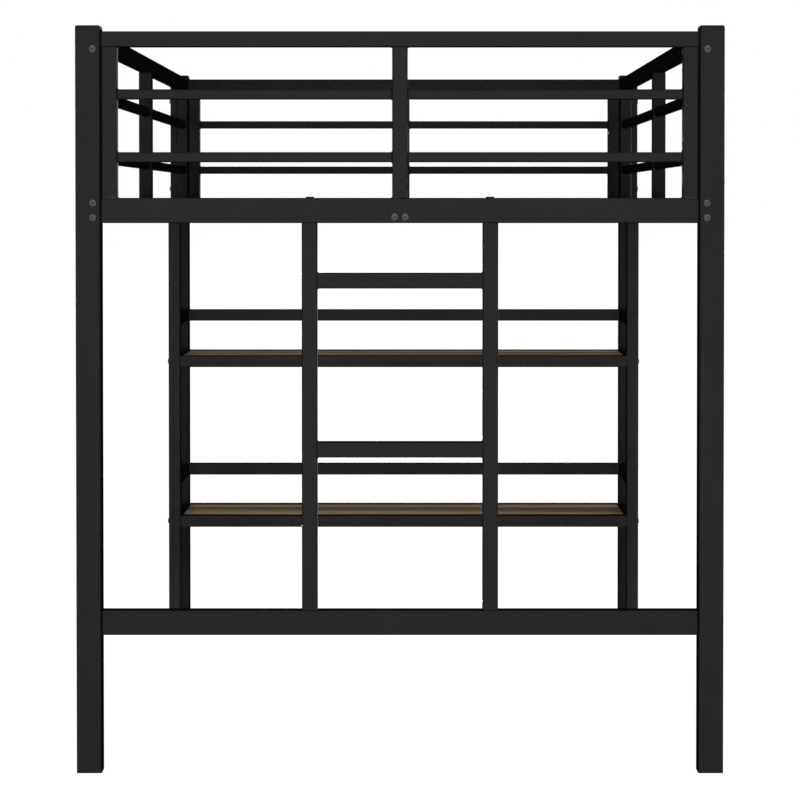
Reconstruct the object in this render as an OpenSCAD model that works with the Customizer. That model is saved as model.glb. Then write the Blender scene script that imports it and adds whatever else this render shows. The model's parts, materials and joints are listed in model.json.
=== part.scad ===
// Low loft bed in square steel tube: guard panels all round, a fixed ladder at the front end
// and a two-tier shelf unit under the rear end.
// Origin on the floor, midway between the four posts. +X right, +Y to the rear, +Z up.

/* [Overall] */
// Length over the posts
overall_length = 1995; // [1900:5:2100]
// Width over the posts
overall_width = 1051; // [950:1:1150]
// Height to the top of the post caps
overall_height = 1214; // [1190:1:1300]

/* [Tubes] */
// Side of the square posts
post_size = 41; // [38:1:45]
// Side of the square rail, upright and ladder tube
rail_size = 25.4; // [24:0.1:28]
// Side of the thin guard bars
bar_size = 16.5; // [12:0.5:20]
// Height of the deep main rails and of the crossbar
main_rail_height = 41; // [38:1:44]
// Height of the flat centre beam
beam_height = 20; // [16:1:24]
// Wall of the posts
post_wall = 1.2; // [1:0.1:2]
// Wall of the other tubes
tube_wall = 1; // [0.8:0.1:1.5]
// Corner radius of the posts
post_round = 3; // [1:0.5:3]
// Corner radius of the other tubes
tube_round = 2; // [1:0.2:2]

/* [Bed level and guards] */
// Floor to the underside of the main rails
main_rail_bottom = 894; // [870:1:910]
// Main rail top to the centre of the lower guard bar
lower_bar_rise = 66; // [50:1:80]
// Main rail top to the centre of the upper guard bar
upper_bar_rise = 168; // [150:1:180]
// Post top to the top of the guards
guard_drop = 9; // [4:1:12]

/* [Ladder] */
// Floor to the underside of the crossbar
crossbar_bottom = 223; // [200:1:240]
// Floor to the top of the lower rung
lower_rung_top = 538; // [520:1:550]
// Distance from one rung to the next
rung_spacing = 275; // [260:1:290]
// Centre of each stile from the middle of the bed
stile_offset = 147; // [130:0.5:180]

/* [Shelves] */
// Front face of the shelf unit to the rear face of the rear posts
shelf_unit_depth = 300; // [260:5:350]
// Floor to the underside of the lower shelf frame
lower_shelf_bottom = 223.5; // [200:0.5:240]
// Floor to the underside of the upper shelf frame
upper_shelf_bottom = 571; // [550:0.5:600]
// Shelf frame underside to the underside of its gallery rail
gallery_rise = 91; // [80:0.5:110]
// Thickness of the wood boards
board_thickness = 12; // [12:1:18]

/* [Mattress support] */
// Number of slats
slat_count = 14; // [12:1:14]
// Width of a slat along the bed
slat_width = 30; // [25:1:40]
// Thickness of a slat
slat_height = 12; // [10:1:14]

/* [Bolts] */
// Shank diameter
bolt_size = 6; // [6:1:6]
// Diameter of the domed head
bolt_head = 11.5; // [10:0.5:12]

/* [Hidden] */
$fn = 32;
steel = [0.16, 0.16, 0.165];
steel_hidden = [0.30, 0.30, 0.31];
plastic = [0.09, 0.09, 0.09];
bolt_steel = [0.30, 0.30, 0.30];
wood = [0.40, 0.33, 0.26];

half_length = overall_length / 2;
half_width = overall_width / 2;
// The rails, guards and crossbar all lie flush with the inner faces of the posts
inner_y = half_length - post_size;
inner_x = half_width - post_size;
post_y = half_length - post_size / 2;
post_x = half_width - post_size / 2;
panel_y = inner_y + rail_size / 2;
panel_x = inner_x + rail_size / 2;

foot_lip = 3;
cap_lip = 6;
plug_depth = 18;
plug_wall = 2.5;
plug_clear = 0.1;
plug_round = 2.2;

main_rail_z = main_rail_bottom + main_rail_height / 2;
main_rail_top = main_rail_bottom + main_rail_height;
guard_top = overall_height - guard_drop;
guard_top_rail_z = guard_top - rail_size / 2;
guard_top_rail_bottom = guard_top - rail_size;
bar_heights = [main_rail_top + lower_bar_rise, main_rail_top + upper_bar_rise];
upright_x = inner_x - rail_size / 2;
upright_y = inner_y - rail_size / 2;

crossbar_z = crossbar_bottom + main_rail_height / 2;
crossbar_top = crossbar_bottom + main_rail_height;
rung_heights = [for (i = [0 : 1]) lower_rung_top - rail_size / 2 + i * rung_spacing];
tab_width = 13.5;
tab_thickness = 3;
tab_round = 1;
tab_overlap = 50;
tab_reach_up = 43;
tab_reach_down = 34;

shelf_front_y = half_length - shelf_unit_depth + rail_size / 2;
shelf_bottoms = [lower_shelf_bottom, upper_shelf_bottom];
shelf_heights = [for (z = shelf_bottoms) z + rail_size / 2];
gallery_heights = [for (z = shelf_heights) z + gallery_rise];
board_recess = 1.5;
board_gap = 3;
board_round = 1.5;
board_front = shelf_front_y + rail_size / 2 + board_gap;
board_back = inner_y - board_gap;
board_mid = (board_front + board_back) / 2;
// Underside of a board above the underside of its frame
board_rise = rail_size - board_recess - board_thickness;
strip_width = 30;
strip_thickness = 2;
strip_x = [-320, 0, 320];
screw_size = 4;
screw_head = 8;
screw_head_height = 2.4;
screw_dome = 5.2;
screw_length = 10;
screw_offsets = [-80, 80];

beam_width = 40;
beam_top = main_rail_bottom + beam_height;
beam_z = main_rail_bottom + beam_height / 2;
ledge_size = 20;
ledge_leg = 16;
ledge_thickness = 1.5;
// The slats lie in plastic channels that stand on the ledges and on the beam
channel_wall = 2;
channel_drop = 1;
channel_height = channel_wall + slat_height - channel_drop;
channel_clear = 0.1;
slat_z = beam_top + channel_wall + slat_height / 2;
slat_end_gap = 4;
slat_half = inner_x - slat_end_gap;
slat_wall = 0.8;
slat_round = 1.2;
first_slat_inset = 45;
slat_pitch = (2 * inner_y - 2 * first_slat_inset) / (slat_count - 1);
shoe_length = 28;
saddle_length = 34;
saddle_flange = 8;

// Root gap of the welded butt joints, so that each tube of a panel stays its own solid
weld_gap = 0.1;

head_height = 3;
head_dome = 8.6;
socket_flats = 4;
socket_depth = 1.8;
clearance_hole = 6.6;
threaded_hole = 6.1;
screw_in = 14;
end_plate = 4;
nut_size = 12;
nut_height = 6;
// Bolt heights, staggered so that crossing bolts miss each other inside a post
guard_bolt_inset = 24.5;
guard_bolt_drop = 4;
main_rail_bolt_half = 11.75;
beam_bolt_half = 8.65;
shelf_bolt_drop = 7;
main_rail_bolts_z = [for (s = [-1, 1]) main_rail_z + s * main_rail_bolt_half];
guard_end_bolt_z = guard_top_rail_bottom - guard_bolt_drop;
guard_side_bolts_z = [main_rail_top + guard_bolt_inset, guard_top_rail_bottom - guard_bolt_inset];
shelf_side_bolts_z = [for (z = shelf_heights) z - shelf_bolt_drop];

function two_digits(n) = n < 10 ? str("0", n) : str(n);
function slat_name(n) = str("slat_", two_digits(n));

// ---------- Shapes used by several parts ----------

module round_rect(w, h, r) {
  square([w - 2 * r, h], center = true);
  square([w, h - 2 * r], center = true);
  for (x = [-1, 1], y = [-1, 1])
    translate([x * (w / 2 - r), y * (h / 2 - r)]) circle(r = r);
}

// Rectangular tube standing on the XY plane
module box_tube(length, w, h, wall, r) {
  linear_extrude(height = length)
    difference() {
      round_rect(w, h, r);
      round_rect(w - 2 * wall, h - 2 * wall, max(r - wall, 0.3));
    }
}

// Tube along X between two ends, centred on y and z
module tube_x(x0, x1, y, z, depth = rail_size, height = rail_size) {
  translate([x0, y, z]) rotate([0, 90, 0])
    box_tube(x1 - x0, height, depth, tube_wall, tube_round);
}

// Tube along Y between two ends, centred on x and z
module tube_y(y0, y1, x, z, width = rail_size, height = rail_size) {
  translate([x, y0, z]) rotate([-90, 0, 0])
    box_tube(y1 - y0, width, height, tube_wall, tube_round);
}

// Tube along Z between two heights, centred on x and y
module tube_z(z0, z1, x, y, size = rail_size) {
  translate([x, y, z0]) box_tube(z1 - z0, size, size, tube_wall, tube_round);
}

module hole_x(x, y, z, d = clearance_hole, reach = post_size) {
  translate([x, y, z]) rotate([0, 90, 0]) cylinder(d = d, h = reach + 10, center = true);
}

module hole_y(x, y, z, d = clearance_hole, reach = post_size) {
  translate([x, y, z]) rotate([90, 0, 0]) cylinder(d = d, h = reach + 10, center = true);
}

module hole_z(x, y, z, d = clearance_hole, reach = post_size) {
  translate([x, y, z]) cylinder(d = d, h = reach + 10, center = true);
}

// Domed bolt: the head stands on the XY plane and the shank points down
module bolt(length) {
  difference() {
    intersection() {
      cylinder(d = bolt_head, h = head_height);
      translate([0, 0, head_height - head_dome]) sphere(r = head_dome);
    }
    translate([0, 0, head_height - socket_depth])
      cylinder(d = socket_flats / cos(30), h = socket_depth + 1, $fn = 6);
  }
  translate([0, 0, -length]) cylinder(d = bolt_size, h = length);
}

// Bolt with its head on a face whose outward normal is +X (s = 1) or -X (s = -1)
module bolt_x(x, y, z, s, length) {
  translate([x, y, z]) rotate([0, 90 * s, 0]) bolt(length);
}

module bolt_y(x, y, z, s, length) {
  translate([x, y, z]) rotate([-90 * s, 0, 0]) bolt(length);
}

module weld_nut() {
  difference() {
    cylinder(d = nut_size, h = nut_height);
    translate([0, 0, -1]) cylinder(d = threaded_hole, h = nut_height + 2);
  }
}

// Plastic plug inside a square tube: a hollow square that points down from the XY plane
module plug_skirt(outer, wall) {
  span = outer - 2 * wall - 2 * plug_clear;
  translate([0, 0, -plug_depth])
    linear_extrude(height = plug_depth)
      difference() {
        round_rect(span, span, plug_round);
        square(span - 2 * plug_wall, center = true);
      }
}

// ---------- Posts ----------

function post_end_bolts(sy) = concat(
  [guard_end_bolt_z],
  main_rail_bolts_z,
  sy > 0 ? shelf_side_bolts_z : []
);

function post_side_bolts(sy) = concat(
  guard_side_bolts_z,
  sy > 0 ? concat(shelf_heights, gallery_heights) : [crossbar_z]
);

module post(sx, sy) {
  color(steel)
    difference() {
      translate([sx * post_x, sy * post_y, foot_lip])
        box_tube(overall_height - foot_lip - cap_lip, post_size, post_size, post_wall, post_round);
      for (z = post_end_bolts(sy)) hole_y(sx * panel_x, sy * post_y, z);
      for (z = post_side_bolts(sy)) hole_x(sx * post_x, sy * panel_y, z);
    }
}

module front_left_post() post(-1, -1);

module front_right_post() post(1, -1);

module rear_left_post() post(-1, 1);

module rear_right_post() post(1, 1);

// Cap with a slightly smaller top tier, and a skirt inside the post
module post_top_cap() {
  tier = 1.2;
  linear_extrude(height = cap_lip - tier) round_rect(post_size, post_size, post_round);
  translate([0, 0, cap_lip - tier])
    linear_extrude(height = tier)
      round_rect(post_size - 2 * tier, post_size - 2 * tier, post_round);
  plug_skirt(post_size, post_wall);
}

module post_top_caps() {
  color(plastic)
    for (sx = [-1, 1], sy = [-1, 1])
      translate([sx * post_x, sy * post_y, overall_height - cap_lip]) post_top_cap();
}

// Foot plate on the floor, with a skirt up inside the tube
module foot(size, wall, r) {
  linear_extrude(height = foot_lip) round_rect(size, size, r);
  translate([0, 0, foot_lip]) mirror([0, 0, 1]) plug_skirt(size, wall);
}

module post_feet() {
  color(plastic)
    for (sx = [-1, 1], sy = [-1, 1])
      translate([sx * post_x, sy * post_y, 0]) foot(post_size, post_wall, post_round);
}

// ---------- Guard panels ----------

module guard_upright(x, y, top) {
  tube_z(main_rail_top + weld_gap, top, x, y);
}

// End panel: main rail and top rail run full width, the uprights stand between them
module end_panel(sy) {
  y = sy * panel_y;
  bay_near = rail_size / 2 + weld_gap;
  bay_far = upright_x - rail_size / 2 - weld_gap;
  color(steel) {
    difference() {
      tube_x(-inner_x, inner_x, y, main_rail_z, height = main_rail_height);
      for (s = [-1, 1]) {
        hole_y(s * beam_bolt_half, y, beam_z);
        if (sy < 0) hole_y(s * stile_offset, sy * inner_y, main_rail_z, reach = 0);
      }
    }
    tube_x(-inner_x, inner_x, y, guard_top_rail_z);
    guard_upright(0, y, guard_top_rail_bottom - weld_gap);
    for (s = [-1, 1]) {
      difference() {
        guard_upright(s * upright_x, y, guard_top_rail_bottom - weld_gap);
        for (z = guard_side_bolts_z) hole_x(s * inner_x, y, z, reach = 0);
      }
      for (z = bar_heights)
        tube_x(
          min(s * bay_near, s * bay_far), max(s * bay_near, s * bay_far),
          y, z, depth = bar_size, height = bar_size
        );
    }
  }
}

module front_end_panel() end_panel(-1);

module rear_end_panel() end_panel(1);

// Side panel: the end uprights reach the top, and the top rail runs between them
module side_panel(sx) {
  x = sx * panel_x;
  bay_near = rail_size / 2 + weld_gap;
  bay_far = upright_y - rail_size / 2 - weld_gap;
  color(steel) {
    difference() {
      tube_y(-inner_y, inner_y, x, main_rail_z, height = main_rail_height);
      hole_z(x, shelf_front_y, main_rail_z);
    }
    tube_y(-bay_far, bay_far, x, guard_top_rail_z);
    guard_upright(x, 0, guard_top_rail_bottom - weld_gap);
    for (s = [-1, 1]) {
      difference() {
        guard_upright(x, s * upright_y, guard_top);
        hole_y(x, s * inner_y, guard_end_bolt_z, reach = 0);
      }
      for (z = bar_heights)
        tube_y(
          min(s * bay_near, s * bay_far), max(s * bay_near, s * bay_far),
          x, z, width = bar_size, height = bar_size
        );
    }
  }
}

module left_side_panel() side_panel(-1);

module right_side_panel() side_panel(1);

module guard_upright_plugs() {
  plug_lip = 2;
  color(plastic)
    for (sx = [-1, 1], sy = [-1, 1])
      translate([sx * panel_x, sy * upright_y, guard_top]) {
        linear_extrude(height = plug_lip) round_rect(rail_size, rail_size, tube_round);
        plug_skirt(rail_size, tube_wall);
      }
}

// ---------- Mattress support ----------

// Angle welded to the inner face of a side main rail
module slat_ledge(sx) {
  length = 2 * inner_y - 2 * rail_size;
  color(steel)
    translate([sx * inner_x, length / 2, beam_top])
      rotate([90, 0, 0])
        linear_extrude(height = length) {
          translate([sx > 0 ? -ledge_size : 0, -ledge_thickness])
            square([ledge_size, ledge_thickness]);
          translate([sx > 0 ? -ledge_thickness : 0, -ledge_leg])
            square([ledge_thickness, ledge_leg]);
        }
}

module left_slat_ledge() slat_ledge(-1);

module right_slat_ledge() slat_ledge(1);

module centre_beam() {
  color(steel) tube_y(-inner_y, inner_y, 0, beam_z, width = beam_width, height = beam_height);
}

function slat_y(n) = -inner_y + first_slat_inset + (n - 1) * slat_pitch;

module slat(n) {
  color(steel)
    translate([-slat_half, slat_y(n), slat_z]) rotate([0, 90, 0])
      box_tube(2 * slat_half, slat_height, slat_width, slat_wall, slat_round);
}

// Channel along X that a slat lies in. Its walls stop below the top of the slat
module slat_channel(length, flange = 0) {
  half = slat_width / 2 + channel_clear;
  reach = half + channel_wall + flange;
  rotate([90, 0, 90])
    linear_extrude(height = length) {
      translate([-reach, 0]) square([2 * reach, channel_wall]);
      for (s = [-1, 1])
        translate([s * (half + channel_wall / 2) - channel_wall / 2, 0])
          square([channel_wall, channel_height]);
    }
}

// Channel closed at its outer end, which stops the slat from sliding out
module slat_end_shoe() {
  width = slat_width + 2 * channel_clear + 2 * channel_wall;
  translate([-shoe_length, 0, 0]) slat_channel(shoe_length + channel_clear);
  translate([channel_clear, -width / 2, 0]) cube([channel_wall, width, channel_height]);
}

module slat_end_shoes() {
  color(plastic)
    for (n = [1 : slat_count], s = [-1, 1])
      translate([s * slat_half, slat_y(n), beam_top]) rotate([0, 0, s > 0 ? 0 : 180])
        slat_end_shoe();
}

module slat_saddles() {
  color(plastic)
    for (n = [1 : slat_count])
      translate([-saddle_length / 2, slat_y(n), beam_top])
        slat_channel(saddle_length, saddle_flange);
}

// ---------- Ladder ----------

module ladder_crossbar() {
  color(steel)
    difference() {
      tube_x(-inner_x, inner_x, -panel_y, crossbar_z, height = main_rail_height);
      for (s = [-1, 1]) hole_y(s * stile_offset, -inner_y, crossbar_z, reach = 0);
    }
}

module ladder_stile(s) {
  color(steel) tube_z(crossbar_top, main_rail_bottom, s * stile_offset, -panel_y);
}

module left_ladder_stile() ladder_stile(-1);

module right_ladder_stile() ladder_stile(1);

module rung(z) {
  reach = stile_offset - rail_size / 2;
  color(steel) tube_x(-reach, reach, -panel_y, z);
}

module lower_rung() rung(rung_heights[0]);

module upper_rung() rung(rung_heights[1]);

// Flat steel tab between two heights, with rounded corners and its bolt hole
module ladder_tab(low_z, high_z, bolt_z) {
  difference() {
    translate([0, tab_thickness, (low_z + high_z) / 2]) rotate([90, 0, 0])
      linear_extrude(height = tab_thickness)
        round_rect(tab_width, high_z - low_z, tab_round);
    hole_y(0, 0, bolt_z);
  }
}

module ladder_tabs() {
  color(steel)
    for (s = [-1, 1])
      translate([s * stile_offset, -inner_y, 0]) {
        ladder_tab(main_rail_bottom - tab_overlap, main_rail_bottom + tab_reach_up, main_rail_z);
        ladder_tab(crossbar_top - tab_reach_down, crossbar_top + tab_overlap, crossbar_z);
      }
}

// ---------- Shelf unit ----------

// Front upright with the side rails of both shelves and both gallery side rails
module shelf_frame(sx) {
  x = sx * panel_x;
  color(steel) {
    difference() {
      tube_z(foot_lip, main_rail_bottom, x, shelf_front_y);
      for (z = shelf_heights) hole_x(x, shelf_front_y, z);
    }
    for (z = concat(shelf_heights, gallery_heights))
      tube_y(shelf_front_y + rail_size / 2 + weld_gap, inner_y, x, z);
  }
}

module left_shelf_frame() shelf_frame(-1);

module right_shelf_frame() shelf_frame(1);

module shelf_upright_feet() {
  color(plastic)
    for (sx = [-1, 1])
      translate([sx * panel_x, shelf_front_y, 0]) foot(rail_size, tube_wall, tube_round);
}

module shelf_cross_rail(y, z) {
  color(steel) tube_x(-inner_x, inner_x, y, z);
}

module lower_shelf_front_rail() shelf_cross_rail(shelf_front_y, shelf_heights[0]);

module upper_shelf_front_rail() shelf_cross_rail(shelf_front_y, shelf_heights[1]);

module lower_shelf_back_rail() shelf_cross_rail(panel_y, shelf_heights[0]);

module upper_shelf_back_rail() shelf_cross_rail(panel_y, shelf_heights[1]);

module lower_gallery_rail() shelf_cross_rail(panel_y, gallery_heights[0]);

module upper_gallery_rail() shelf_cross_rail(panel_y, gallery_heights[1]);

module shelf_board(bottom) {
  color(wood)
    translate([0, board_mid, bottom + board_rise])
      difference() {
        linear_extrude(height = board_thickness)
          round_rect(2 * (inner_x - board_gap), board_back - board_front, board_round);
        for (x = strip_x, y = screw_offsets)
          translate([x, y, -1]) cylinder(d = screw_size, h = screw_length - strip_thickness + 1.5);
      }
}

module lower_shelf_board() shelf_board(lower_shelf_bottom);

module upper_shelf_board() shelf_board(upper_shelf_bottom);

// Flat steel strips from front rail to back rail, under the board
module board_strips(bottom) {
  color(steel)
    for (x = strip_x)
      difference() {
        translate([x - strip_width / 2, board_front - board_gap, bottom + board_rise - strip_thickness])
          cube([strip_width, inner_y - board_front + board_gap, strip_thickness]);
        for (y = screw_offsets) hole_z(x, board_mid + y, bottom, d = screw_size + 0.5);
      }
}

module lower_board_strips() board_strips(lower_shelf_bottom);

module upper_board_strips() board_strips(upper_shelf_bottom);

// Pan-head screw pointing up, with its head below the strip
module board_screw() {
  cylinder(d = screw_size - 0.1, h = screw_length);
  translate([0, 0, -screw_head_height])
    intersection() {
      cylinder(d = screw_head, h = screw_head_height);
      translate([0, 0, screw_dome]) sphere(r = screw_dome);
    }
}

module board_screws() {
  color(bolt_steel)
    for (bottom = shelf_bottoms, x = strip_x, y = screw_offsets)
      translate([x, board_mid + y, bottom + board_rise - strip_thickness]) board_screw();
}

// ---------- Threaded plates and nuts inside the tubes ----------

// Plate that fits inside the end of a tube, standing on the XY plane
module tube_end_plate(w, h, holes) {
  linear_extrude(height = end_plate)
    difference() {
      round_rect(w - 2 * tube_wall, h - 2 * tube_wall, max(tube_round - tube_wall, 0.3) + 0.2);
      for (p = holes) translate(p) circle(d = threaded_hole);
    }
}

// Plate at the end of a tube along X, just inside the face whose normal is s
module end_plate_x(x, y, z, s, height, holes) {
  translate([x, y, z]) rotate([0, -90 * s, 0])
    tube_end_plate(height, rail_size, holes);
}

module end_plate_y(x, y, z, s, width, height, holes) {
  translate([x, y, z]) rotate([90 * s, 0, 0])
    tube_end_plate(width, height, holes);
}

module rail_end_plates() {
  color(steel_hidden)
    for (s = [-1, 1]) {
      for (sy = [-1, 1])
        end_plate_y(s * panel_x, sy * inner_y, main_rail_z, sy, rail_size, main_rail_height,
          [for (t = [-1, 1]) [0, t * main_rail_bolt_half]]);
      end_plate_y(0, s * inner_y, beam_z, s, beam_width, beam_height,
        [for (t = [-1, 1]) [t * beam_bolt_half, 0]]);
      end_plate_x(s * inner_x, -panel_y, crossbar_z, s, main_rail_height, [[0, 0]]);
      for (z = shelf_heights) {
        end_plate_x(s * inner_x, shelf_front_y, z, s, rail_size, [[0, 0]]);
        end_plate_x(s * inner_x, panel_y, z, s, rail_size, [[0, 0]]);
        end_plate_y(s * panel_x, inner_y, z, 1, rail_size, rail_size, [[0, -shelf_bolt_drop]]);
      }
      for (z = gallery_heights)
        end_plate_x(s * inner_x, panel_y, z, s, rail_size, [[0, 0]]);
      translate([s * panel_x, shelf_front_y, main_rail_bottom - end_plate])
        tube_end_plate(rail_size, rail_size, [[0, 0]]);
    }
}

// Nuts inside the guard uprights, the front main rail and the crossbar
module weld_nuts() {
  color(steel_hidden)
    for (sx = [-1, 1]) {
      for (sy = [-1, 1]) {
        for (z = guard_side_bolts_z)
          translate([sx * (inner_x - tube_wall), sy * panel_y, z]) rotate([0, -90 * sx, 0])
            weld_nut();
        translate([sx * panel_x, sy * (inner_y - tube_wall), guard_end_bolt_z])
          rotate([90 * sy, 0, 0]) weld_nut();
      }
      for (z = [main_rail_z, crossbar_z])
        translate([sx * stile_offset, -inner_y - tube_wall, z]) rotate([90, 0, 0]) weld_nut();
    }
}

// ---------- Bolts ----------

// Through the end faces of the posts into the side panels
module main_rail_bolts() {
  color(bolt_steel)
    for (sx = [-1, 1], sy = [-1, 1], z = concat([guard_end_bolt_z], main_rail_bolts_z))
      bolt_y(sx * panel_x, sy * half_length, z, sy, post_size + screw_in);
}

// Through the side faces of the posts into the end panels
module guard_bolts() {
  color(bolt_steel)
    for (sx = [-1, 1], sy = [-1, 1], z = guard_side_bolts_z)
      bolt_x(sx * half_width, sy * panel_y, z, sx, post_size + screw_in);
}

module crossbar_bolts() {
  color(bolt_steel)
    for (sx = [-1, 1])
      bolt_x(sx * half_width, -panel_y, crossbar_z, sx, post_size + screw_in);
}

module centre_beam_bolts() {
  color(bolt_steel)
    for (sx = [-1, 1], sy = [-1, 1])
      bolt_y(sx * beam_bolt_half, sy * (inner_y + rail_size), beam_z, sy, rail_size + screw_in);
}

module ladder_bolts() {
  color(bolt_steel)
    for (sx = [-1, 1], z = [main_rail_z, crossbar_z])
      bolt_y(sx * stile_offset, -inner_y + tab_thickness, z, 1, tab_thickness + screw_in);
}

module shelf_bolts() {
  color(bolt_steel)
    for (sx = [-1, 1]) {
      for (z = shelf_heights)
        bolt_x(sx * (inner_x + rail_size), shelf_front_y, z, sx, rail_size + screw_in);
      for (z = concat(shelf_heights, gallery_heights))
        bolt_x(sx * half_width, panel_y, z, sx, post_size + screw_in);
      for (z = shelf_side_bolts_z)
        bolt_y(sx * panel_x, half_length, z, 1, post_size + screw_in);
      translate([sx * panel_x, shelf_front_y, main_rail_top]) bolt(main_rail_height + screw_in);
    }
}

// ---------- Assembly ----------

front_left_post();
front_right_post();
rear_left_post();
rear_right_post();
post_top_caps();
post_feet();
front_end_panel();
rear_end_panel();
left_side_panel();
right_side_panel();
guard_upright_plugs();
left_slat_ledge();
right_slat_ledge();
centre_beam();
for (n = [1 : slat_count]) {
  slat(n);
}
slat_end_shoes();
slat_saddles();
ladder_crossbar();
left_ladder_stile();
right_ladder_stile();
lower_rung();
upper_rung();
ladder_tabs();
left_shelf_frame();
right_shelf_frame();
shelf_upright_feet();
lower_shelf_front_rail();
upper_shelf_front_rail();
lower_shelf_back_rail();
upper_shelf_back_rail();
lower_gallery_rail();
upper_gallery_rail();
lower_shelf_board();
upper_shelf_board();
lower_board_strips();
upper_board_strips();
board_screws();
rail_end_plates();
weld_nuts();
main_rail_bolts();
guard_bolts();
crossbar_bolts();
centre_beam_bolts();
ladder_bolts();
shelf_bolts();
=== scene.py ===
"""Looks of the low loft bed: powder-coated square tube, weld beads, plastic caps and feet,
domed bolts and rustic wood shelf boards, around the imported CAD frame. Metres, +Z up."""

import json
import math

import bmesh
import bpy
import numpy as np
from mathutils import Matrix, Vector


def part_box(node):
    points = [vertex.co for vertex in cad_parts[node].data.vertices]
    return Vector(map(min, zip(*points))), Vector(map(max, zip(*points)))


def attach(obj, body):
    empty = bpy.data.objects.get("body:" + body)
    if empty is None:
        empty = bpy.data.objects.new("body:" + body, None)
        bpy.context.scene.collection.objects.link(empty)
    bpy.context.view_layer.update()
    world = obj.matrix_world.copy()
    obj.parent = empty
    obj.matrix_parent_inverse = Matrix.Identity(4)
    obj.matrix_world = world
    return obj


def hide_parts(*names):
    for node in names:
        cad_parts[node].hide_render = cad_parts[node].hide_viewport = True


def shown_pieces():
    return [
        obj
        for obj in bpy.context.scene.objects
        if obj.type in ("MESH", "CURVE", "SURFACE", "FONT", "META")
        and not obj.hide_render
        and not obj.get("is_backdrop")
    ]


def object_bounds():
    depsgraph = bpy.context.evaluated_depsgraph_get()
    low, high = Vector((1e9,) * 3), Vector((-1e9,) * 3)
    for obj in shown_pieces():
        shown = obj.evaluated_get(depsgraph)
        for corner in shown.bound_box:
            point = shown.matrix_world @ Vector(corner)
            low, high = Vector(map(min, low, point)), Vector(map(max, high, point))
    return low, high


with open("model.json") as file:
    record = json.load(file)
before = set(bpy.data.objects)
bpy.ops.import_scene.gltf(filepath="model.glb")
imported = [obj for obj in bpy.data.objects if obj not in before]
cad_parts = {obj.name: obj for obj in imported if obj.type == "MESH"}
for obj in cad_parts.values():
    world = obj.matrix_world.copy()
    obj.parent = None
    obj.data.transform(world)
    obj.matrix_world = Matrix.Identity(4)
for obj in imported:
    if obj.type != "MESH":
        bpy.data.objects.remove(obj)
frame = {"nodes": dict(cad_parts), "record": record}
CAD_LOW, CAD_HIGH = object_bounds()

MM = 0.001
BODY = "root"

# ---------- Camera, as the photograph was taken ----------

CAMERA_PLACE = Vector((0.0232, -5.9927, 0.9254))
CAMERA_TILT_DOWN = math.radians(1.415)
CAMERA_LENS = 138.9
# The height sets the field of view. The smaller width makes the round views stand further
# back, so that the shift doesn't push the bed out of them.
SENSOR_HEIGHT = 36.0
SENSOR_WIDTH = 30.4
SHIFT_X = -0.0178
SHIFT_Y = -0.15


def make_camera():
    data = bpy.data.cameras.new("camera")
    data.lens = CAMERA_LENS
    data.sensor_fit = "VERTICAL"
    data.sensor_height = SENSOR_HEIGHT
    data.sensor_width = SENSOR_WIDTH
    data.shift_x = SHIFT_X
    data.shift_y = SHIFT_Y
    camera = bpy.data.objects.new("camera", data)
    camera.location = CAMERA_PLACE
    camera.rotation_euler = (math.radians(90) - CAMERA_TILT_DOWN, 0, 0)
    bpy.context.scene.collection.objects.link(camera)
    bpy.context.scene.camera = camera


# ---------- Node helpers ----------


def add(tree, kind, inputs=None, **settings):
    """A shader node with its settings, and its inputs set to values or linked to sockets."""
    made = tree.nodes.new(kind)
    for name, value in settings.items():
        setattr(made, name, value)
    for name, value in (inputs or {}).items():
        if isinstance(value, bpy.types.NodeSocket):
            tree.links.new(value, made.inputs[name])
        else:
            made.inputs[name].default_value = value
    return made


def blank_material(name):
    material = bpy.data.materials.new(name)
    material.use_nodes = True
    tree = material.node_tree
    tree.nodes.clear()
    shader = add(tree, "ShaderNodeBsdfPrincipled")
    output = add(tree, "ShaderNodeOutputMaterial")
    tree.links.new(shader.outputs["BSDF"], output.inputs["Surface"])
    return material, tree, shader


def noise(tree, place, scale, detail=2.0, roughness=0.5, distortion=0.0):
    made = add(tree, "ShaderNodeTexNoise", {"Vector": place, "Scale": scale, "Detail": detail,
                                            "Roughness": roughness, "Distortion": distortion})
    return made.outputs["Fac"]


def stretched(tree, place, scale):
    return add(tree, "ShaderNodeMapping", {"Vector": place, "Scale": scale}).outputs["Vector"]


def blend_colours(tree, factor, stops):
    """A colour ramp with (position, colour) stops."""
    ramp = add(tree, "ShaderNodeValToRGB", {"Fac": factor})
    elements = ramp.color_ramp.elements
    while len(elements) < len(stops):
        elements.new(0.5)
    for element, (position, colour) in zip(elements, stops):
        element.position = position
        element.color = (*colour, 1.0)
    return ramp.outputs["Color"]


def remap(tree, value, low, high, from_low=0.3, from_high=0.7):
    return add(tree, "ShaderNodeMapRange", {"Value": value, "From Min": from_low, "From Max": from_high,
                                            "To Min": low, "To Max": high}).outputs["Result"]


def bump(tree, height, distance, strength, normal=None):
    inputs = {"Height": height, "Distance": distance, "Strength": strength}
    if normal is not None:
        inputs["Normal"] = normal
    return add(tree, "ShaderNodeBump", inputs).outputs["Normal"]


def shade(colour, factor):
    return tuple(channel * factor for channel in colour)


# ---------- Materials ----------

COAT_BLACK = (0.0062, 0.0062, 0.0064)
PLASTIC_BLACK = (0.0055, 0.0055, 0.0057)
BOLT_GREY = (0.072, 0.072, 0.074)
# Painted shade: the hex sockets of the bolts are coloured near-black where shade would fall inside them.
SOCKET_SHADE_MASK = "socket_shade"
SOCKET_PAINTED_SHADE = (0.006, 0.006, 0.006)
WOOD_DARK = (0.13, 0.071, 0.033)
WOOD_MID = (0.32, 0.197, 0.101)
WOOD_LIGHT = (0.55, 0.365, 0.203)


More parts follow.
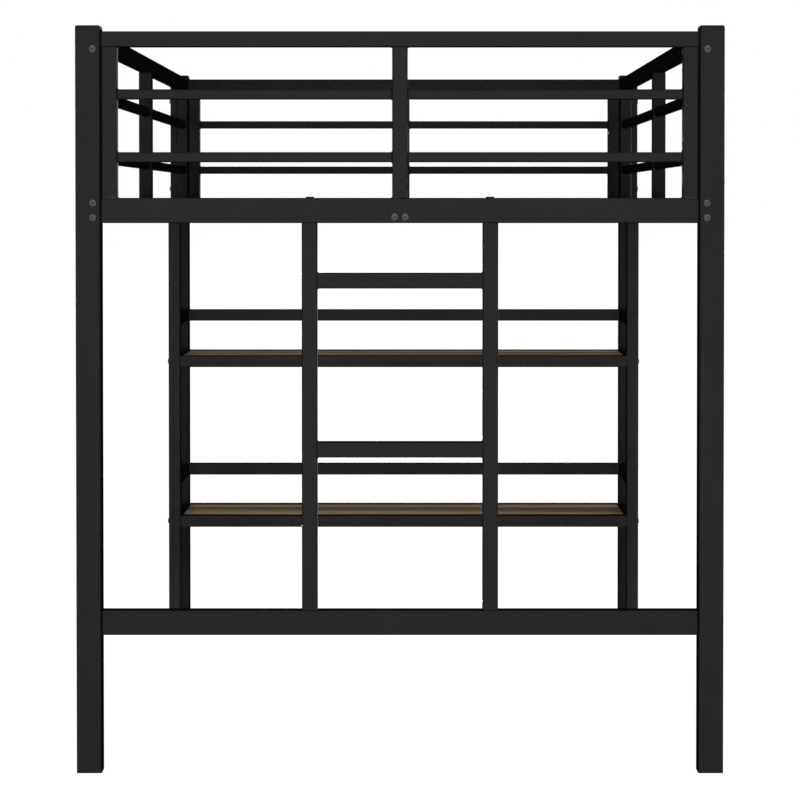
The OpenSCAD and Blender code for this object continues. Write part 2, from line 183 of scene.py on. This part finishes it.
def powder_coat():
    """Satin black powder coat: slow cloudiness, orange peel and a fine sanded grain."""
    material, tree, shader = blank_material("powder_coat_black")
    place = add(tree, "ShaderNodeTexCoord").outputs["Object"]
    cloud = noise(tree, place, scale=7, detail=4)
    speckle = noise(tree, place, scale=1400, detail=1)
    cloud_colour = blend_colours(tree, cloud, [(0.30, shade(COAT_BLACK, 0.86)), (0.70, shade(COAT_BLACK, 1.12))])
    speckle_colour = blend_colours(tree, speckle, [(0.35, (0.82, 0.82, 0.82)), (0.75, (1.25, 1.25, 1.25))])
    mixed = add(tree, "ShaderNodeMixRGB", {"Fac": 1.0, "Color1": cloud_colour, "Color2": speckle_colour},
                blend_type="MULTIPLY")
    tree.links.new(mixed.outputs["Color"], shader.inputs["Base Color"])
    tree.links.new(remap(tree, cloud, 0.64, 0.72), shader.inputs["Roughness"])
    peel = bump(tree, noise(tree, place, scale=330, detail=2), distance=0.00006, strength=0.25)
    grain = bump(tree, speckle, distance=0.00003, strength=0.40, normal=peel)
    tree.links.new(grain, shader.inputs["Normal"])
    shader.inputs["Specular IOR Level"].default_value = 0.0
    shader.inputs["Coat Weight"].default_value = 0.105
    shader.inputs["Coat Roughness"].default_value = 0.53
    return material


def moulded_plastic():
    """Matt black moulded plastic with a spark-eroded texture."""
    material, tree, shader = blank_material("moulded_plastic_black")
    place = add(tree, "ShaderNodeTexCoord").outputs["Object"]
    cloud = noise(tree, place, scale=40, detail=3)
    colour = blend_colours(tree, cloud, [(0.3, shade(PLASTIC_BLACK, 0.85)), (0.7, shade(PLASTIC_BLACK, 1.2))])
    tree.links.new(colour, shader.inputs["Base Color"])
    tree.links.new(remap(tree, cloud, 0.42, 0.54), shader.inputs["Roughness"])
    texture = noise(tree, place, scale=1800, detail=2)
    tree.links.new(bump(tree, texture, distance=0.00005, strength=0.5), shader.inputs["Normal"])
    shader.inputs["Specular IOR Level"].default_value = 0.0
    shader.inputs["Coat Weight"].default_value = 0.10
    shader.inputs["Coat Roughness"].default_value = 0.48
    return material


def plated_bolt():
    """Dark grey plated steel with fine turning marks, slight tarnish and painted shade darkening the hex sockets."""
    material, tree, shader = blank_material("plated_bolt")
    place = add(tree, "ShaderNodeTexCoord").outputs["Object"]
    tarnish = noise(tree, place, scale=260, detail=3)
    colour = blend_colours(tree, tarnish, [(0.3, shade(BOLT_GREY, 0.7)), (0.72, shade(BOLT_GREY, 1.25))])
    # Painted shade: the socket mask darkens the colour inside the hex sockets.
    socket_shade = add(tree, "ShaderNodeAttribute", attribute_name=SOCKET_SHADE_MASK).outputs["Fac"]
    dark = add(tree, "ShaderNodeMixRGB", {"Fac": socket_shade, "Color1": colour, "Color2": (*SOCKET_PAINTED_SHADE, 1)})
    tree.links.new(dark.outputs["Color"], shader.inputs["Base Color"])
    tree.links.new(remap(tree, tarnish, 0.55, 0.68), shader.inputs["Roughness"])
    marks = noise(tree, place, scale=2600, detail=1)
    tree.links.new(bump(tree, marks, distance=0.00003, strength=0.35), shader.inputs["Normal"])
    shader.inputs["Metallic"].default_value = 0.35
    return material


def rustic_wood():
    """Brown oak-look laminate with grain along X: broad bands, fibres and dark pores."""
    material, tree, shader = blank_material("rustic_wood")
    place = add(tree, "ShaderNodeTexCoord").outputs["Object"]
    warp = add(tree, "ShaderNodeTexNoise", {"Vector": stretched(tree, place, (1.2, 5.0, 5.0)), "Scale": 2.2,
                                            "Detail": 2.0})
    bent = add(tree, "ShaderNodeMixRGB", {"Fac": 0.055, "Color1": place, "Color2": warp.outputs["Color"]},
               blend_type="ADD").outputs["Color"]
    bands = noise(tree, stretched(tree, bent, (1.3, 26, 26)), scale=1.6, detail=5, roughness=0.62)
    fibres = noise(tree, stretched(tree, bent, (7, 260, 260)), scale=1.0, detail=4, roughness=0.65)
    pores = noise(tree, stretched(tree, bent, (22, 900, 900)), scale=1.0, detail=2)
    band_colour = blend_colours(tree, bands, [(0.30, WOOD_DARK), (0.48, WOOD_MID), (0.72, WOOD_LIGHT)])
    fibre_colour = blend_colours(tree, fibres, [(0.30, (0.55, 0.52, 0.50)), (0.62, (1.12, 1.10, 1.08))])
    pore_colour = blend_colours(tree, pores, [(0.28, (0.45, 0.42, 0.40)), (0.42, (1.0, 1.0, 1.0))])
    grained = add(tree, "ShaderNodeMixRGB", {"Fac": 0.85, "Color1": band_colour, "Color2": fibre_colour},
                  blend_type="MULTIPLY").outputs["Color"]
    finished = add(tree, "ShaderNodeMixRGB", {"Fac": 0.7, "Color1": grained, "Color2": pore_colour},
                   blend_type="MULTIPLY").outputs["Color"]
    tree.links.new(finished, shader.inputs["Base Color"])
    tree.links.new(remap(tree, fibres, 0.62, 0.48), shader.inputs["Roughness"])
    relief = bump(tree, fibres, distance=0.00015, strength=0.35)
    tree.links.new(bump(tree, pores, distance=0.0001, strength=0.4, normal=relief), shader.inputs["Normal"])
    shader.inputs["Specular IOR Level"].default_value = 0.0
    shader.inputs["Coat Weight"].default_value = 0.10
    shader.inputs["Coat Roughness"].default_value = 0.45
    return material


FINISHES = {
    "frame_steel": powder_coat(),
    "black_plastic": moulded_plastic(),
    "bolt_steel": plated_bolt(),
    "rustic_wood": rustic_wood(),
}
SLOT_OF = {part["node"]: part["material_slot"] for part in frame["record"]["subparts"]}


def finish_cad_nodes():
    for name, cad in frame["nodes"].items():
        for holder in cad.material_slots:
            holder.material = FINISHES[SLOT_OF[name]]


# ---------- Mesh helpers ----------


def new_piece(name, mesh, slot_name, smooth=True):
    """Links a mesh in place, gives it its slot's finish and lets it ride on the bed."""
    piece = bpy.data.objects.new(name, mesh)
    bpy.context.scene.collection.objects.link(piece)
    mesh.materials.append(FINISHES[slot_name])
    for face in mesh.polygons:
        face.use_smooth = smooth
    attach(piece, BODY)
    return piece


def solids(node):
    """The (lowest, highest) corners of each separate solid of a CAD node."""
    mesh = frame["nodes"][node].data
    corners = np.array([v.co for v in mesh.vertices], float)
    _, group = np.unique(np.round(corners / (0.01 * MM)).astype(np.int64), axis=0, return_inverse=True)
    group = group.reshape(-1)
    parent = list(range(group.max() + 1))

    def root(i):
        while parent[i] != i:
            parent[i] = parent[parent[i]]
            i = parent[i]
        return i

    for face in mesh.polygons:
        first = root(group[face.vertices[0]])
        for v in face.vertices[1:]:
            parent[root(group[v])] = first
    owner = np.array([root(g) for g in group])
    boxes = []
    for one in sorted(set(owner)):
        points = corners[owner == one]
        boxes.append((Vector(points.min(0)), Vector(points.max(0))))
    return boxes


def rounded_ring(half_x, half_y, radius, steps):
    """Points round a rounded rectangle, counter-clockwise."""
    points = []
    for corner, (sx, sy) in enumerate(((1, 1), (-1, 1), (-1, -1), (1, -1))):
        for step in range(steps + 1):
            angle = math.radians(90) * (corner + step / steps)
            points.append((sx * (half_x - radius) + radius * math.cos(angle),
                           sy * (half_y - radius) + radius * math.sin(angle)))
    return points


def lofted_block(centre, half_x, half_y, levels, corner_radius, steps=5):
    """Closed block through rounded rectangles at (height, inset) levels, from low to high."""
    work = bmesh.new()
    rings = []
    for height, inset in levels:
        radius = max(corner_radius - inset, 0.15 * MM)
        points = rounded_ring(half_x - inset, half_y - inset, radius, steps)
        rings.append([work.verts.new((centre.x + x, centre.y + y, height)) for x, y in points])
    for low, high in zip(rings, rings[1:]):
        for i in range(len(low)):
            j = (i + 1) % len(low)
            work.faces.new((low[i], low[j], high[j], high[i]))
    work.faces.new(list(reversed(rings[0])))
    work.faces.new(rings[-1])
    return work


def merged_mesh(name, parts):
    """One mesh from several bmesh parts, which are freed."""
    mesh = bpy.data.meshes.new(name)
    total = bmesh.new()
    for part in parts:
        piece = bpy.data.meshes.new("part")
        part.to_mesh(piece)
        part.free()
        total.from_mesh(piece)
        bpy.data.meshes.remove(piece)
    total.to_mesh(mesh)
    total.free()
    return mesh


def quarter_round(height, radius, steps, top=True):
    """(height, inset) levels of a rounded edge that ends at a height."""
    levels = []
    for step in range(steps + 1):
        angle = math.radians(90) * step / steps
        rise = radius * math.sin(angle)
        inset = radius * (1 - math.cos(angle))
        levels.append((height - radius + rise, inset) if top else (height + radius - rise, inset))
    return levels if top else list(reversed(levels))


# ---------- Plastic caps, feet and plugs ----------

CAP_EDGE = 3.4 * MM
CAP_CORNER = 3.8 * MM
CAP_SHOULDER = 0.5 * MM
FOOT_EDGE = 0.8 * MM
FOOT_CORNER = 2.5 * MM
EDGE_STEPS = 5


def cap_part(low, high, lip_bottom):
    """Post cap: a fine groove where it meets the post, straight sides and a rounded top edge."""
    centre = (low + high) / 2
    half = (high.x - low.x) / 2
    levels = [(lip_bottom, CAP_SHOULDER), (lip_bottom + CAP_SHOULDER, CAP_SHOULDER), (lip_bottom + CAP_SHOULDER, 0)]
    return lofted_block(centre, half, half, levels + quarter_round(high.z, CAP_EDGE, EDGE_STEPS), CAP_CORNER)


def foot_part(low, high, lip_top):
    centre = (low + high) / 2
    half = (high.x - low.x) / 2
    levels = quarter_round(low.z, FOOT_EDGE, EDGE_STEPS, top=False) + [(lip_top, 0)]
    return lofted_block(centre, half, half, levels, FOOT_CORNER)


def make_plastics():
    post_low, post_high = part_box("front_left_post")
    shelf_low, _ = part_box("left_shelf_frame")
    _, guard_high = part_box("left_side_panel")
    caps = [cap_part(low, high, post_high.z) for low, high in solids("post_top_caps")]
    feet = [foot_part(low, high, post_low.z) for low, high in solids("post_feet")]
    shelf_feet = [foot_part(low, high, shelf_low.z) for low, high in solids("shelf_upright_feet")]
    plugs = [cap_part_small(low, high, guard_high.z) for low, high in solids("guard_upright_plugs")]
    for name, parts, node in (("moulded_post_caps", caps, "post_top_caps"),
                              ("moulded_post_feet", feet, "post_feet"),
                              ("moulded_shelf_feet", shelf_feet, "shelf_upright_feet"),
                              ("moulded_guard_plugs", plugs, "guard_upright_plugs")):
        piece = new_piece(name, merged_mesh(name, parts), "black_plastic")
        sharpen(piece)
        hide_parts(node)


PLUG_EDGE = 1.2 * MM
PLUG_CORNER = 1.8 * MM


def cap_part_small(low, high, lip_bottom):
    centre = (low + high) / 2
    half = (high.x - low.x) / 2
    levels = [(lip_bottom, 0)] + quarter_round(high.z, PLUG_EDGE, EDGE_STEPS)
    return lofted_block(centre, half, half, levels, PLUG_CORNER)


def sharpen(piece, angle=40):
    """Smooth shading that breaks at real edges."""
    mesh = piece.data
    mesh.set_sharp_from_angle(angle=math.radians(angle))


# ---------- Bolts and screws ----------

BOLT_GROUPS = ("main_rail_bolts", "guard_bolts", "crossbar_bolts", "centre_beam_bolts", "ladder_bolts",
               "shelf_bolts")
HEAD_HEIGHT = 3.0 * MM
HEAD_DOME = 8.6 * MM
RIM_ROUND = 0.35 * MM
HEX_HALF = 2.0 * MM
HEX_DEPTH = 2.4 * MM
HEX_CHAMFER = 0.25 * MM
SHANK_RADIUS = 3.0 * MM
SHANK_TIP = 0.6 * MM
TURNS = 48


def circle(radius):
    return lambda angle: radius


def hexagon(half_flats):
    """Distance from the axis to a hexagon's edge at an angle."""
    sixth = math.radians(60)
    return lambda angle: half_flats / math.cos((angle % sixth) - sixth / 2)


def dome_height(radius):
    return HEAD_HEIGHT - HEAD_DOME + math.sqrt(HEAD_DOME ** 2 - radius ** 2)


def bolt_profile(head_radius, length):
    """(height, outline, 1 where the socket gets painted shade) rings from the tip of the shank to the floor of the
    socket.
    """
    rings = [(-length, circle(SHANK_RADIUS - SHANK_TIP), 0), (-length + SHANK_TIP, circle(SHANK_RADIUS), 0),
             (0, circle(SHANK_RADIUS), 0), (0, circle(head_radius), 0)]
    rim = dome_height(head_radius)
    rings.append((rim - RIM_ROUND, circle(head_radius), 0))
    rings.append((rim - 0.3 * RIM_ROUND, circle(head_radius - 0.3 * RIM_ROUND), 0))
    for share in (0.97, 0.90, 0.80, 0.68, 0.56):
        radius = head_radius * share
        rings.append((dome_height(radius), circle(radius), 0))
    edge = HEX_HALF / math.cos(math.radians(30)) + HEX_CHAMFER
    top = dome_height(edge)
    rings.append((top, circle(edge), 0))
    rings.append((top - HEX_CHAMFER, hexagon(HEX_HALF), 1))
    rings.append((top - HEX_DEPTH, hexagon(HEX_HALF), 1))
    return rings


def lathe_part(rings, origin, normal):
    """Closed turned part along a normal, with the socket's painted-shade mask stored on its corners."""
    forward = normal.normalized()
    side = forward.orthogonal().normalized()
    up = forward.cross(side)
    work = bmesh.new()
    layer = work.verts.layers.float.new(SOCKET_SHADE_MASK)
    made = []
    for height, outline, socket_shade in rings:
        ring = []
        for turn in range(TURNS):
            angle = 2 * math.pi * turn / TURNS
            reach = outline(angle)
            vert = work.verts.new(origin + forward * height + (side * math.cos(angle) + up * math.sin(angle)) * reach)
            vert[layer] = socket_shade
            ring.append(vert)
        made.append(ring)
    for low, high in zip(made, made[1:]):
        for i in range(TURNS):
            j = (i + 1) % TURNS
            work.faces.new((low[i], low[j], high[j], high[i]))
    work.faces.new(list(reversed(made[0])))
    work.faces.new(made[-1])
    return work


def head_side(node, low, high):
    """Axis of a bolt, and the sign of the end where its head is."""
    axis = long_axis(low, high)
    centre = (low + high) / 2
    points = np.array([v.co for v in frame["nodes"][node].data.vertices], float)
    inside = np.all((points > np.array(low) - MM) & (points < np.array(high) + MM), axis=1)
    others = [a for a in range(3) if a != axis]
    spread = np.abs(points[inside][:, others] - np.array(centre)[others]).max(axis=1)
    wide = points[inside][spread > SHANK_RADIUS * 1.3][:, axis]
    return axis, 1 if wide.mean() > centre[axis] else -1


def make_bolts():
    for node in BOLT_GROUPS:
        parts = []
        for low, high in solids(node):
            axis, sign = head_side(node, low, high)
            others = [a for a in range(3) if a != axis]
            head_radius = (high - low)[others[0]] / 2
            normal = Vector([sign if a == axis else 0 for a in range(3)])
            top = (high if sign > 0 else low)[axis]
            crown = dome_height(HEX_HALF / math.cos(math.radians(30)))
            origin = (low + high) / 2
            origin[axis] = top - sign * crown
            length = (high - low)[axis] - crown
            parts.append(lathe_part(bolt_profile(head_radius, length), origin, normal))
        piece = new_piece(f"turned_{node}", merged_mesh(f"turned_{node}", parts), "bolt_steel")
        sharpen(piece, 35)
        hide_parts(node)


# ---------- Shelf boards ----------

BOARD_EDGE = 1.2 * MM


def make_boards():
    for shelf in ("lower", "upper"):
        node = f"{shelf}_shelf_board"
        low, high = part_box(node)
        half = (high - low) / 2
        levels = quarter_round(low.z, BOARD_EDGE, 3, top=False) + quarter_round(high.z, BOARD_EDGE, 3)
        part = lofted_block((low + high) / 2, half.x, half.y, levels, 1.5 * MM, steps=3)
        piece = new_piece(f"{shelf}_wood_board", merged_mesh(f"{shelf}_wood_board", [part]), "rustic_wood")
        sharpen(piece, 50)
        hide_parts(node)


# ---------- Weld beads ----------

BEAD_RADIUS = 1.5 * MM
BEAD_RIPPLE = 0.14
BEAD_PITCH = 2.2 * MM
BEAD_SIDES = 8
BEAD_RINGS_PER_RIPPLE = 3
JOINT_REACH = 0.4 * MM
FLUSH = 0.5 * MM


def weld_bead(start, end):
    """Rippled bead along a straight edge, rounded off at both ends."""
    along = end - start
    length = along.length
    forward = along.normalized()
    side = forward.orthogonal().normalized()
    up = forward.cross(side)
    ripples = max(3, round(length / BEAD_PITCH))
    count = ripples * BEAD_RINGS_PER_RIPPLE
    work = bmesh.new()
    rings = []
    for i in range(count + 1):
        share = i / count
        taper = math.sqrt(max(0.0, 1 - abs(2 * share - 1) ** 10))
        ripple = 1 + BEAD_RIPPLE * math.sin(2 * math.pi * ripples * share)
        radius = BEAD_RADIUS * max(0.25, taper) * ripple
        middle = start + along * share
        ring = []
        for k in range(BEAD_SIDES):
            angle = 2 * math.pi * k / BEAD_SIDES
            ring.append(work.verts.new(middle + (side * math.cos(angle) + up * math.sin(angle)) * radius))
        rings.append(ring)
    for low, high in zip(rings, rings[1:]):
        for k in range(BEAD_SIDES):
            j = (k + 1) % BEAD_SIDES
            work.faces.new((low[k], low[j], high[j], high[k]))
    work.faces.new(list(reversed(rings[0])))
    work.faces.new(rings[-1])
    return work


def long_axis(low, high):
    size = high - low
    return max(range(3), key=lambda axis: size[axis])


def joint_beads(tube, other):
    """Beads where an end of one tube butts against the side of another."""
    (low, high), (other_low, other_high) = tube, other
    axis = long_axis(low, high)
    across = [a for a in range(3) if a != axis]
    beads = []
    for end, other_face in ((low[axis], other_high[axis]), (high[axis], other_low[axis])):
        touches = abs(end - other_face) < JOINT_REACH
        covers = all(other_low[a] - FLUSH < low[a] and high[a] < other_high[a] + FLUSH for a in across)
        if not (touches and covers):
            continue
        for edge_axis, run_axis in (across, reversed(across)):
            for edge, other_edge in ((low[edge_axis], other_low[edge_axis]), (high[edge_axis], other_high[edge_axis])):
                if abs(edge - other_edge) < FLUSH:
                    continue
                start, stop = Vector(low), Vector(low)
                for point in (start, stop):
                    point[axis] = other_face
                    point[edge_axis] = edge
                start[run_axis] = low[run_axis] + BEAD_RADIUS * 1.3
                stop[run_axis] = high[run_axis] - BEAD_RADIUS * 1.3
                beads.append(weld_bead(start, stop))
    return beads


WELDED = {
    "front_end_panel_welds": ["front_end_panel"],
    "rear_end_panel_welds": ["rear_end_panel"],
    "left_side_panel_welds": ["left_side_panel"],
    "right_side_panel_welds": ["right_side_panel"],
    "left_shelf_frame_welds": ["left_shelf_frame"],
    "right_shelf_frame_welds": ["right_shelf_frame"],
    "ladder_welds": ["left_ladder_stile", "right_ladder_stile", "lower_rung", "upper_rung"],
}


def make_welds():
    for name, nodes in WELDED.items():
        tubes = [tube for node in nodes for tube in solids(node)]
        beads = []
        for tube in tubes:
            for other in tubes:
                if other is not tube and long_axis(*other) != long_axis(*tube):
                    beads += joint_beads(tube, other)
        new_piece(name, merged_mesh(name, beads), "frame_steel")


# ---------- Studio ----------

FLOOR_HALF = 60.0
FLOOR_TONE = (0.80, 0.80, 0.80)
FLOOR_SEEN = 1.0
WORLD_SEEN = 1.0
WORLD_FILL = 0.06


def camera_ray(tree):
    return add(tree, "ShaderNodeLightPath").outputs["Is Camera Ray"]


def make_floor():
    """Pale floor that looks evenly bright, and bounces only the light that falls on it."""
    mesh = bpy.data.meshes.new("studio_floor")
    corners = [(-FLOOR_HALF, -FLOOR_HALF, 0), (FLOOR_HALF, -FLOOR_HALF, 0), (FLOOR_HALF, FLOOR_HALF, 0),
               (-FLOOR_HALF, FLOOR_HALF, 0)]
    mesh.from_pydata(corners, [], [(0, 1, 2, 3)])
    floor = bpy.data.objects.new("studio_floor", mesh)
    bpy.context.scene.collection.objects.link(floor)
    floor.location.z = CAD_LOW.z - 0.2 * MM
    material, tree, shader = blank_material("studio_white")
    shader.inputs["Base Color"].default_value = (*FLOOR_TONE, 1)
    shader.inputs["Roughness"].default_value = 0.9
    shader.inputs["Specular IOR Level"].default_value = 0.0
    shader.inputs["Emission Color"].default_value = (1, 1, 1, 1)
    seen = add(tree, "ShaderNodeMath", {0: camera_ray(tree), 1: FLOOR_SEEN}, operation="MULTIPLY")
    tree.links.new(seen.outputs["Value"], shader.inputs["Emission Strength"])
    mesh.materials.append(material)
    floor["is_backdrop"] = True


def make_world():
    """White to the eye, and a dim even fill for the light it casts."""
    world = bpy.data.worlds.new("studio_world")
    bpy.context.scene.world = world
    world.use_nodes = True
    tree = world.node_tree
    tree.nodes.clear()
    fill = add(tree, "ShaderNodeBackground", {"Color": (1, 1, 1, 1), "Strength": WORLD_FILL})
    white = add(tree, "ShaderNodeBackground", {"Color": (1, 1, 1, 1), "Strength": WORLD_SEEN})
    both = add(tree, "ShaderNodeMixShader", {"Fac": camera_ray(tree)})
    tree.links.new(fill.outputs["Background"], both.inputs[1])
    tree.links.new(white.outputs["Background"], both.inputs[2])
    output = add(tree, "ShaderNodeOutputWorld")
    tree.links.new(both.outputs["Shader"], output.inputs["Surface"])


def soft_sun(name, azimuth, elevation, strength, spread, only=()):
    """Wide, even light from an azimuth (0 is the front, 90 the right) and an elevation."""
    data = bpy.data.lights.new(name, "SUN")
    data.energy = strength
    data.angle = math.radians(spread)
    light = bpy.data.objects.new(name, data)
    turn, rise = math.radians(azimuth), math.radians(elevation)
    source = Vector((math.sin(turn) * math.cos(rise), -math.cos(turn) * math.cos(rise), math.sin(rise)))
    light.rotation_euler = source.to_track_quat("Z", "Y").to_euler()
    bpy.context.scene.collection.objects.link(light)
    if only:
        light.light_linking.receiver_collection = unlinked_group(name + "_receivers", only)


def unlinked_group(name, pieces):
    group = bpy.data.collections.new(name)
    for piece in pieces:
        group.objects.link(piece)
    return group


def soft_panel(name, distance, height, size, strength, spread=180, only=()):
    """Flat lamp in front of the bed, facing it; the strength is what arrives at the near end."""
    data = bpy.data.lights.new(name, "AREA")
    data.shape = "RECTANGLE"
    data.size, data.size_y = size
    data.energy = strength * math.pi * distance ** 2
    if spread < 180:
        half_spread = math.radians(spread / 2)
        data.spread = 2 * half_spread
        data.energy *= 1 - half_spread / math.tan(half_spread)
    light = bpy.data.objects.new(name, data)
    light.location = (0, CAD_LOW.y - distance, height)
    light.rotation_euler = (math.radians(90), 0, 0)
    light.visible_camera = False
    bpy.context.scene.collection.objects.link(light)
    if only:
        light.light_linking.receiver_collection = unlinked_group(name + "_receivers", only)
        light.light_linking.blocker_collection = unlinked_group(name + "_blockers", only)


def lit_pieces(sides, wood=False, above=None):
    """The pieces, all or above a height, on the named sides of the bed (-1 left, 0 across it, 1 right)."""
    found = []
    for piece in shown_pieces():
        corners = [piece.matrix_world @ Vector(corner) for corner in piece.bound_box]
        low, high = min(c.x for c in corners), max(c.x for c in corners)
        side = 1 if low > SIDE_ZONE else -1 if high < -SIDE_ZONE else 0
        is_wood = FINISHES["rustic_wood"] in [holder.material for holder in piece.material_slots]
        is_high = above is None or min(corner.z for corner in corners) > above
        if side in sides and is_wood == wood and is_high:
            found.append(piece)
    return found


SIDE_ZONE = 0.30
GUARD_ZONE = 0.85
FAR_STEEL = ("rear_left_post", "rear_right_post", "left_shelf_frame", "right_shelf_frame",
             "lower_shelf_front_rail", "upper_shelf_front_rail")


def make_lights():
    """A soft key lamp in front; each sun reaches only the faces that turn to its side."""
    soft_panel("key_front", 13.0, 0.65, (3.6, 1.2), 3.9)
    soft_panel("fill_far", 2.5, 0.10, (1.8, 0.2), 6.5, spread=30, only=[frame["nodes"][name] for name in FAR_STEEL])
    soft_sun("rear_left", 218, 2, 5.2, 4, lit_pieces((-1, 0)))
    soft_sun("rear_right", 142, 2, 5.2, 4, lit_pieces((0, 1)))
    soft_sun("side_left", 270, 2, 4.6, 4, lit_pieces((-1,)))
    soft_sun("side_right", 90, 2, 4.6, 4, lit_pieces((1,)))
    soft_sun("top", 0, 90, 3.0, 24, lit_pieces((-1, 0, 1), above=GUARD_ZONE))
    soft_sun("top_wood", 180, 35, 1.5, 24, lit_pieces((0,), wood=True))


make_camera()
make_world()
make_floor()
finish_cad_nodes()
make_plastics()
make_bolts()
make_boards()
make_welds()
make_lights()
bpy.context.scene.view_settings.view_transform = "Standard"
